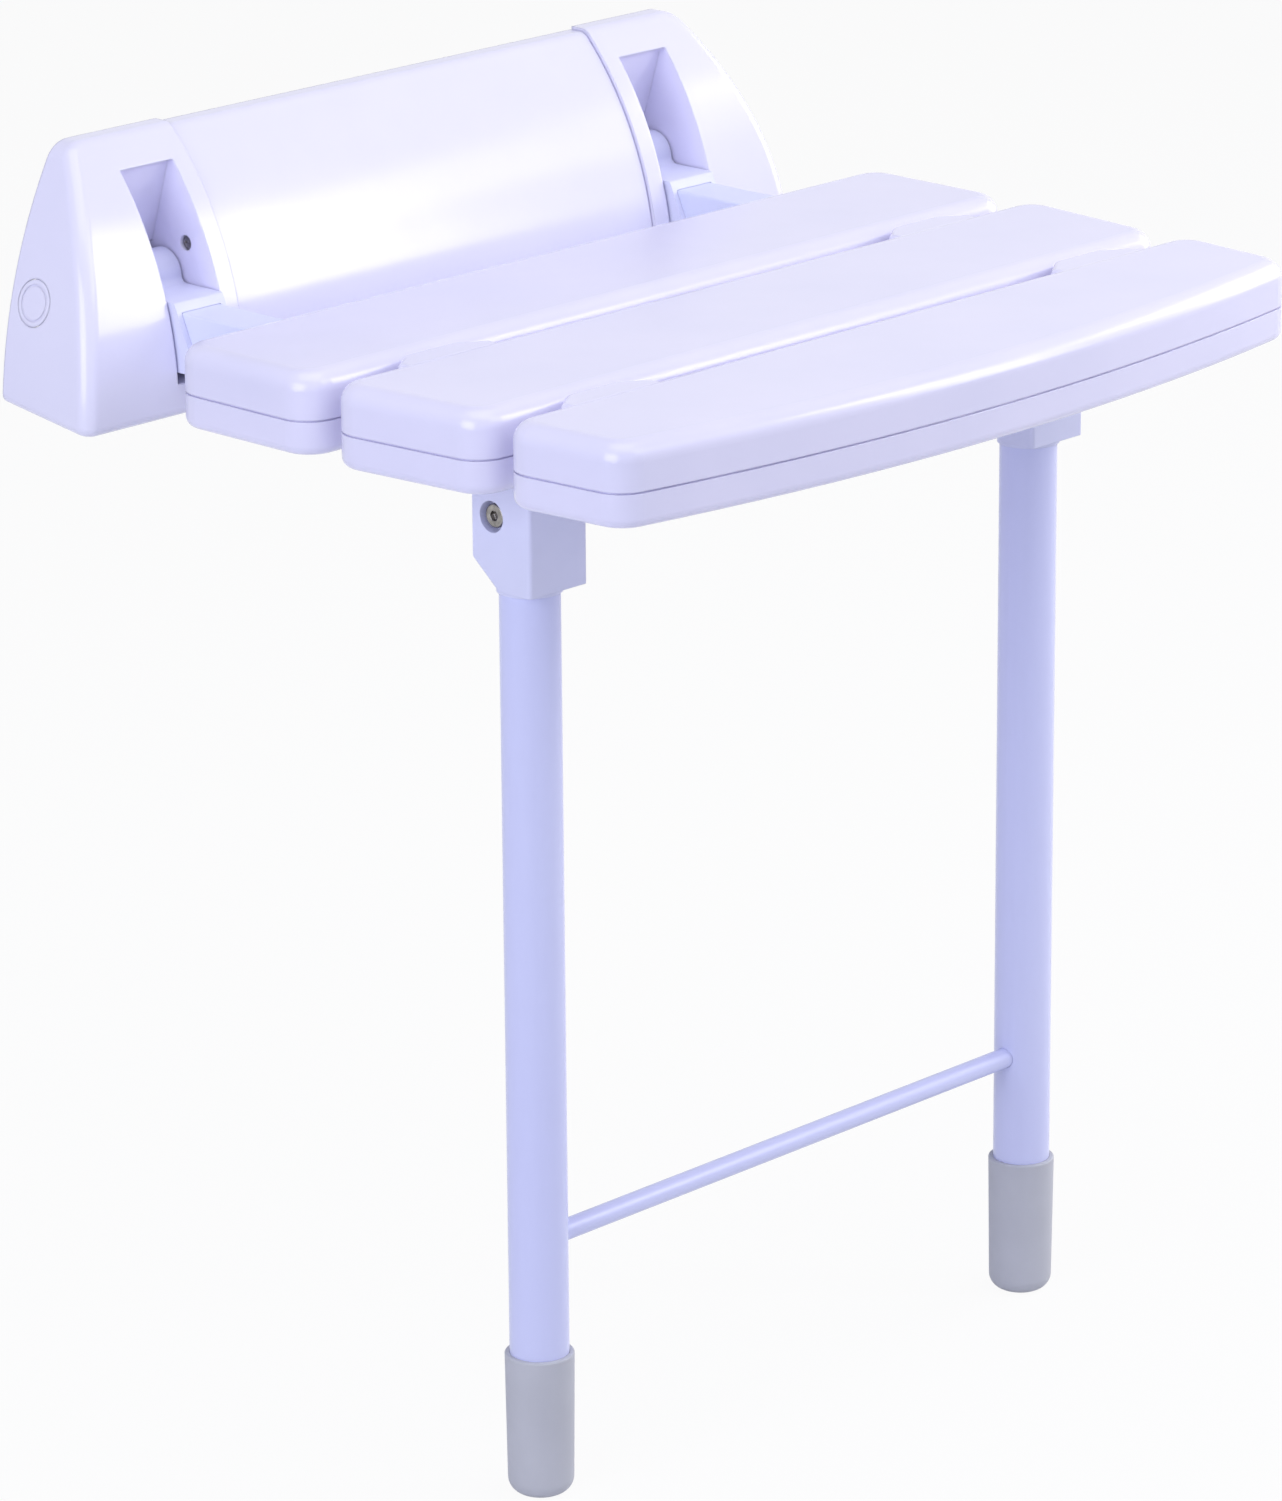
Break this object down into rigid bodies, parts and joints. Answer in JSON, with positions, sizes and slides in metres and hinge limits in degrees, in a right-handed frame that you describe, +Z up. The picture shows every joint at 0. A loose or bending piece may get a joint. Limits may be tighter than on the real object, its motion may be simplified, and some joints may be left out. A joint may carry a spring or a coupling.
{
  "type": "wall-mounted folding shower seat",
  "caption": "Wall-mounted folding shower seat: a slatted plastic seat on hinged arms folds up against a wall housing, with hanging support legs joined by a rod.",
  "frame": {"origin": "centre of the wall screw pattern on the wall plate's back face, on the wall plane", "axes": "+X to the sitter's left (viewer's right), +Y into the wall, +Z up"},
  "size_m": [0.43, 0.3662, 0.5438],
  "materials": {
    "seat_plastic": "satin-gloss moulded, near-white",
    "housing_plastic": "satin-gloss moulded, near-white",
    "hinge_plastic": "satin moulded, near-white",
    "leg_paint": "gloss powder coat, near-white",
    "arm_paint": "powder coat on aluminium",
    "plate_steel": "brushed stainless",
    "screw_steel": "stainless",
    "bush_plastic": "natural nylon",
    "foot_rubber": "matte grey"
  },
  "bodies": {
    "wall_unit": {"wall_plate": "plate_steel", "bracket_rivets": "screw_steel", "centre_cover": "housing_plastic", "cap_screws": "screw_steel", "cover_screws": "screw_steel", "left_hinge_bracket": "plate_steel", "right_hinge_bracket": "plate_steel", "left_end_cap": "housing_plastic", "right_end_cap": "housing_plastic", "left_pin_cover": "housing_plastic", "right_pin_cover": "housing_plastic", "left_hinge_pin": "screw_steel", "right_hinge_pin": "screw_steel", "left_pin_clip": "screw_steel", "right_pin_clip": "screw_steel"},
    "seat": {"sleeve_bolts": "screw_steel", "slat_screws": "screw_steel", "arm_screws": "screw_steel", "lug_screws": "screw_steel", "left_knuckle": "hinge_plastic", "right_knuckle": "hinge_plastic", "left_hinge_bushes": "bush_plastic", "right_hinge_bushes": "bush_plastic", "left_arm": "arm_paint", "right_arm": "arm_paint", "left_leg_lug": "arm_paint", "right_leg_lug": "arm_paint", "left_pivot_bush": "bush_plastic", "right_pivot_bush": "bush_plastic", "rear_slat_top": "seat_plastic", "rear_slat_bottom": "seat_plastic", "middle_slat_top": "seat_plastic", "middle_slat_bottom": "seat_plastic", "front_slat_top": "seat_plastic", "front_slat_bottom": "seat_plastic"},
    "legs": {"cross_rod": "leg_paint", "foot_washers": "screw_steel", "left_leg_head": "hinge_plastic", "right_leg_head": "hinge_plastic", "left_leg_tube": "leg_paint", "right_leg_tube": "leg_paint", "left_foot": "foot_rubber", "right_foot": "foot_rubber", "left_pivot_screw": "screw_steel", "right_pivot_screw": "screw_steel", "left_pivot_nut": "screw_steel", "right_pivot_nut": "screw_steel"}
  },
  "joints": [
    {"name": "seat_fold", "type": "hinge", "parent": "wall_unit", "child": "seat", "pos_m": [0, -0.014, -0.0085], "axis": [-1, 0, 0], "range_deg": [0, 90]},
    {"name": "leg_fold", "type": "hinge", "parent": "seat", "child": "legs", "pos_m": [0, -0.2418, -0.0645], "axis": [1, 0, 0], "range_deg": [0, 90]}
  ],
  "couplings": [
    {"joint": "leg_fold", "follows": "seat_fold", "ratio": 1}
  ]
}
